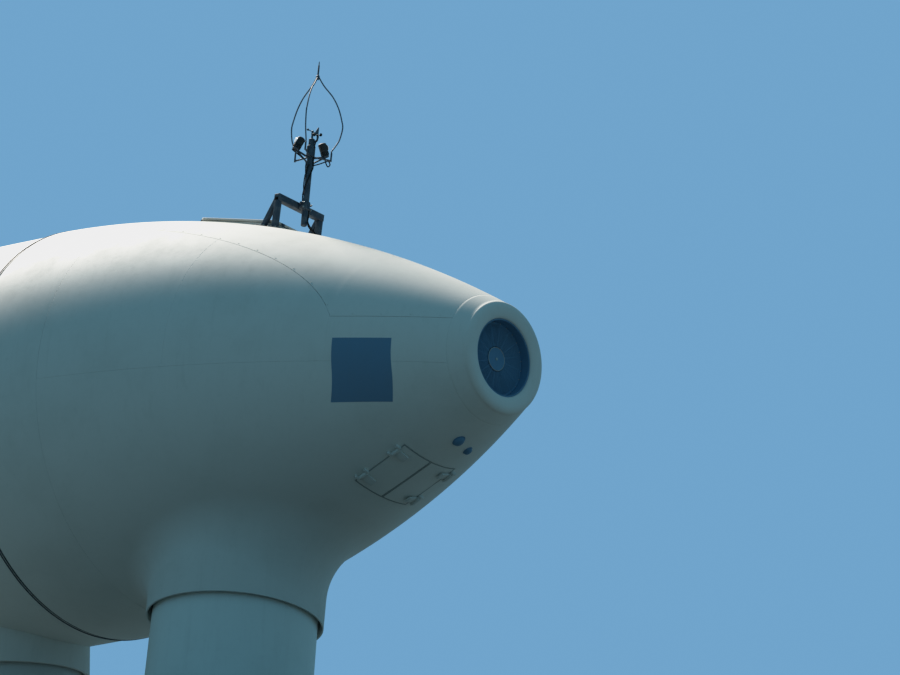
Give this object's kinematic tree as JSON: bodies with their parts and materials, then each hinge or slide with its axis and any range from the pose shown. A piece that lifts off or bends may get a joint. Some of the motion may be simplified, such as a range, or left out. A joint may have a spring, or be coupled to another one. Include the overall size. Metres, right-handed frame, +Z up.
{
  "type": "wind turbine nacelle",
  "caption": "Egg-shaped nacelle of a direct-drive wind turbine on its tower top, with spinner and blade root stubs, tail fan, floor and roof hatches and a roof mast with lightning cage.",
  "frame": {"origin": "centre of the tower section's lower flange face", "axes": "+Z up along the tower, +X from the rotor towards the tail, +Y across"},
  "size_m": [10.6805, 6.5782, 9.5825],
  "materials": {
    "gelcoat": "satin white laminate, weathered",
    "tower_paint": "satin light grey paint",
    "blade_paint": "light grey laminate",
    "cast_iron": "grey primed casting",
    "dark_paint": "dark blue-grey paint",
    "galvanised": "dull zinc coat",
    "hatch_laminate": "sun-bleached grey-beige laminate",
    "lamp_plastic": "dark weathered plastic"
  },
  "bodies": {
    "tower": {"tower_flange_plate": "tower_paint", "tower_section": "tower_paint", "yaw_bearing": "dark_paint"},
    "nacelle": {"yaw_turntable": "cast_iron", "main_carrier": "cast_iron", "axle_pin": "cast_iron", "generator_stator": "cast_iron", "front_ring": "gelcoat", "roof_hood": "gelcoat", "side_panel_front_left": "gelcoat", "side_panel_front_right": "gelcoat", "side_panel_rear_left": "gelcoat", "side_panel_rear_right": "gelcoat", "belly_shell": "gelcoat", "tail_ring": "gelcoat", "fan_duct": "dark_paint", "fan_motor": "dark_paint", "fan_guard": "dark_paint", "roof_hatch_frame": "hatch_laminate", "tail_hatch_lid": "gelcoat", "drain_cowl_1": "dark_paint", "drain_cowl_2": "dark_paint", "sensor_bracket": "galvanised", "sensor_mast": "galvanised", "warning_lamp_left": "lamp_plastic", "warning_lamp_right": "lamp_plastic", "lightning_cage": "galvanised"},
    "rotor": {"hub_casting": "cast_iron", "generator_rotor": "cast_iron", "spinner_shell": "gelcoat", "spinner_nose": "gelcoat", "blade_collar_1": "gelcoat", "blade_collar_2": "gelcoat", "blade_collar_3": "gelcoat"},
    "pitch_1": {"blade_adapter_1": "blade_paint"},
    "pitch_2": {"blade_adapter_2": "blade_paint"},
    "pitch_3": {"blade_adapter_3": "blade_paint"},
    "fan": {"fan_impeller": "dark_paint"},
    "leaf_left": {"floor_hatch_left": "gelcoat"},
    "leaf_right": {"floor_hatch_right": "gelcoat"},
    "roof_lid": {"roof_hatch_lid": "hatch_laminate"},
    "cups": {"anemometer_cups": "lamp_plastic"},
    "vane": {"wind_vane": "lamp_plastic"}
  },
  "joints": [
    {"name": "yaw", "type": "hinge", "parent": "tower", "child": "nacelle", "pos_m": [0, 0, 2.23], "axis": [0, 0, 1], "continuous": true},
    {"name": "rotor_spin", "type": "hinge", "parent": "nacelle", "child": "rotor", "pos_m": [-4.29738, 0, 5.09007], "axis": [0.9994, 0, -0.0349], "continuous": true},
    {"name": "pitch_1", "type": "hinge", "parent": "rotor", "child": "pitch_1", "pos_m": [-4.29738, 0, 5.09007], "axis": [0.0221, 0.7738, 0.633], "range_deg": [0, 90]},
    {"name": "pitch_2", "type": "hinge", "parent": "rotor", "child": "pitch_2", "pos_m": [-4.29738, 0, 5.09007], "axis": [-0.0344, 0.1616, -0.9863], "range_deg": [0, 90]},
    {"name": "pitch_3", "type": "hinge", "parent": "rotor", "child": "pitch_3", "pos_m": [-4.29738, 0, 5.09007], "axis": [0.0123, -0.9354, 0.3533], "range_deg": [0, 90]},
    {"name": "fan_spin", "type": "hinge", "parent": "nacelle", "child": "fan", "pos_m": [3.98757, 0, 4.80075], "axis": [0.9994, 0, -0.0349], "continuous": true},
    {"name": "floor_leaf_left", "type": "hinge", "parent": "nacelle", "child": "leaf_left", "pos_m": [2.72846, -0.50485, 3.46897], "axis": [-0.9196, 0, -0.3928], "range_deg": [0, 95]},
    {"name": "floor_leaf_right", "type": "hinge", "parent": "nacelle", "child": "leaf_right", "pos_m": [2.72846, 0.50485, 3.46897], "axis": [0.9196, 0, 0.3928], "range_deg": [0, 95]},
    {"name": "roof_lid", "type": "hinge", "parent": "nacelle", "child": "roof_lid", "pos_m": [-0.99397, 0, 7.58239], "axis": [0, -1, 0], "range_deg": [0, 100]},
    {"name": "cups_spin", "type": "hinge", "parent": "nacelle", "child": "cups", "pos_m": [0.64221, 0, 8.53451], "axis": [0, 0, 1], "continuous": true},
    {"name": "vane_turn", "type": "hinge", "parent": "nacelle", "child": "vane", "pos_m": [0.54721, 0, 8.60251], "axis": [0, 0, 1], "continuous": true}
  ]
}
